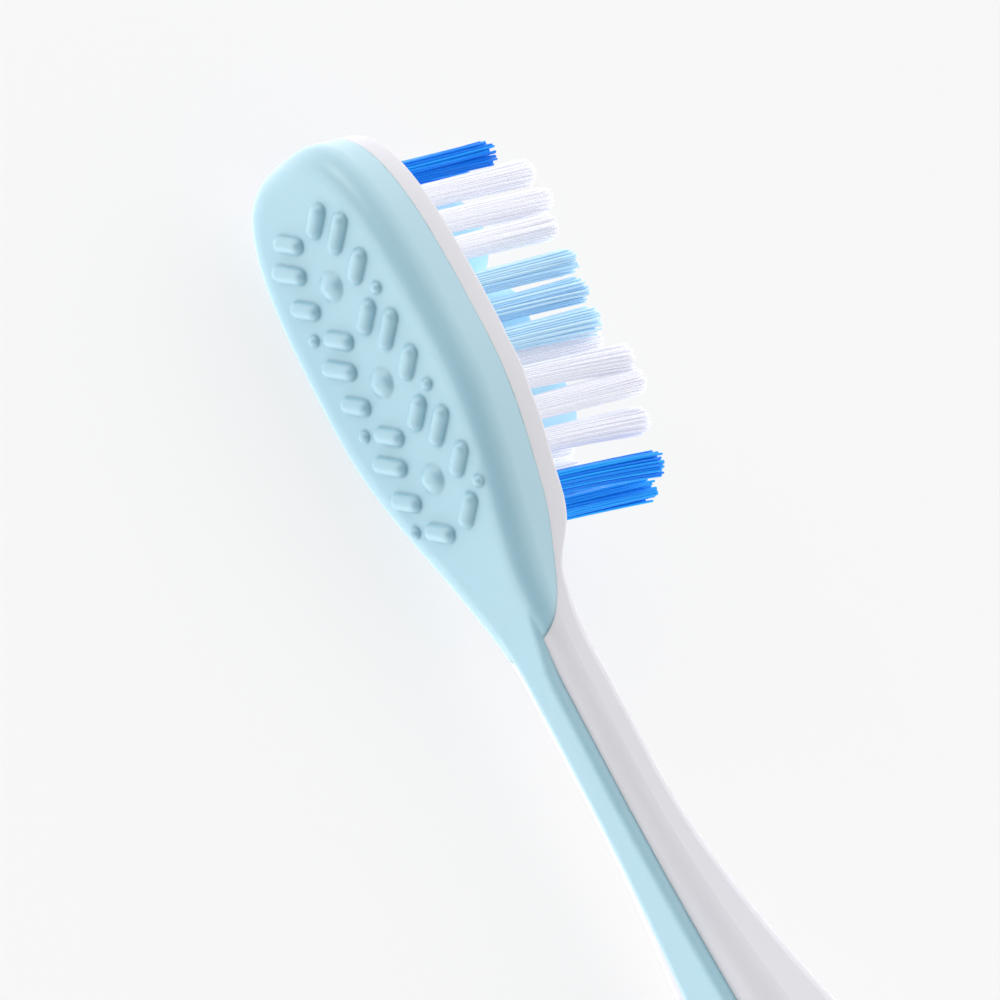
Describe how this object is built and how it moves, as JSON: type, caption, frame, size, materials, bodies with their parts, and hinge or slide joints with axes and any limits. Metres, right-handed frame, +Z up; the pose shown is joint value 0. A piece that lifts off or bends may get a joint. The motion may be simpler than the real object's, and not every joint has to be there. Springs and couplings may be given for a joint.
{
  "type": "manual toothbrush",
  "caption": "Manual toothbrush: slim white handle, soft aqua back with raised cleaning nubs, colour-zoned bristle tufts and soft polishing cups on an oval head.",
  "frame": {"origin": "middle of the brush's length and depth, on the surface that it lies on when it lies on its side", "axes": "+X along the handle towards the head's tip, +Y out of the back of the head with the bristles towards -Y, +Z up across the head's width"},
  "size_m": [0.19, 0.0192, 0.014],
  "materials": {
    "white_core": "satin-gloss moulded white polypropylene",
    "soft_aqua": "matt soft-touch thermoplastic elastomer, pale aqua",
    "bristle_white": "fine translucent white nylon filaments",
    "bristle_light_blue": "fine translucent light-blue nylon filaments",
    "bristle_deep_blue": "fine deep-blue nylon filaments",
    "anchor_metal": "plain stamped nickel-brass strip"
  },
  "bodies": {
    "root": {"back_overmould": "soft_aqua", "handle_core": "white_core", "polishing_cup_lower": "soft_aqua", "polishing_cup_middle": "soft_aqua", "polishing_cup_upper": "soft_aqua", "thumb_grip": "soft_aqua", "tuft_anchors": "anchor_metal", "tuft_heel_centre": "bristle_deep_blue", "tuft_heel_left_1": "bristle_deep_blue", "tuft_heel_right_1": "bristle_deep_blue", "tuft_lower_inner_left": "bristle_white", "tuft_lower_inner_right": "bristle_white", "tuft_lower_left_1": "bristle_white", "tuft_lower_left_2": "bristle_white", "tuft_lower_left_3": "bristle_white", "tuft_lower_right_1": "bristle_white", "tuft_lower_right_2": "bristle_white", "tuft_lower_right_3": "bristle_white", "tuft_middle_left_1": "bristle_light_blue", "tuft_middle_left_2": "bristle_light_blue", "tuft_middle_left_3": "bristle_light_blue", "tuft_middle_right_1": "bristle_light_blue", "tuft_middle_right_2": "bristle_light_blue", "tuft_middle_right_3": "bristle_light_blue", "tuft_tip_inner_left": "bristle_deep_blue", "tuft_tip_inner_right": "bristle_deep_blue", "tuft_tip_left_1": "bristle_deep_blue", "tuft_tip_right_1": "bristle_deep_blue", "tuft_upper_left_1": "bristle_white", "tuft_upper_left_2": "bristle_white", "tuft_upper_left_3": "bristle_white", "tuft_upper_right_1": "bristle_white", "tuft_upper_right_2": "bristle_white", "tuft_upper_right_3": "bristle_white"}
  },
  "joints": []
}
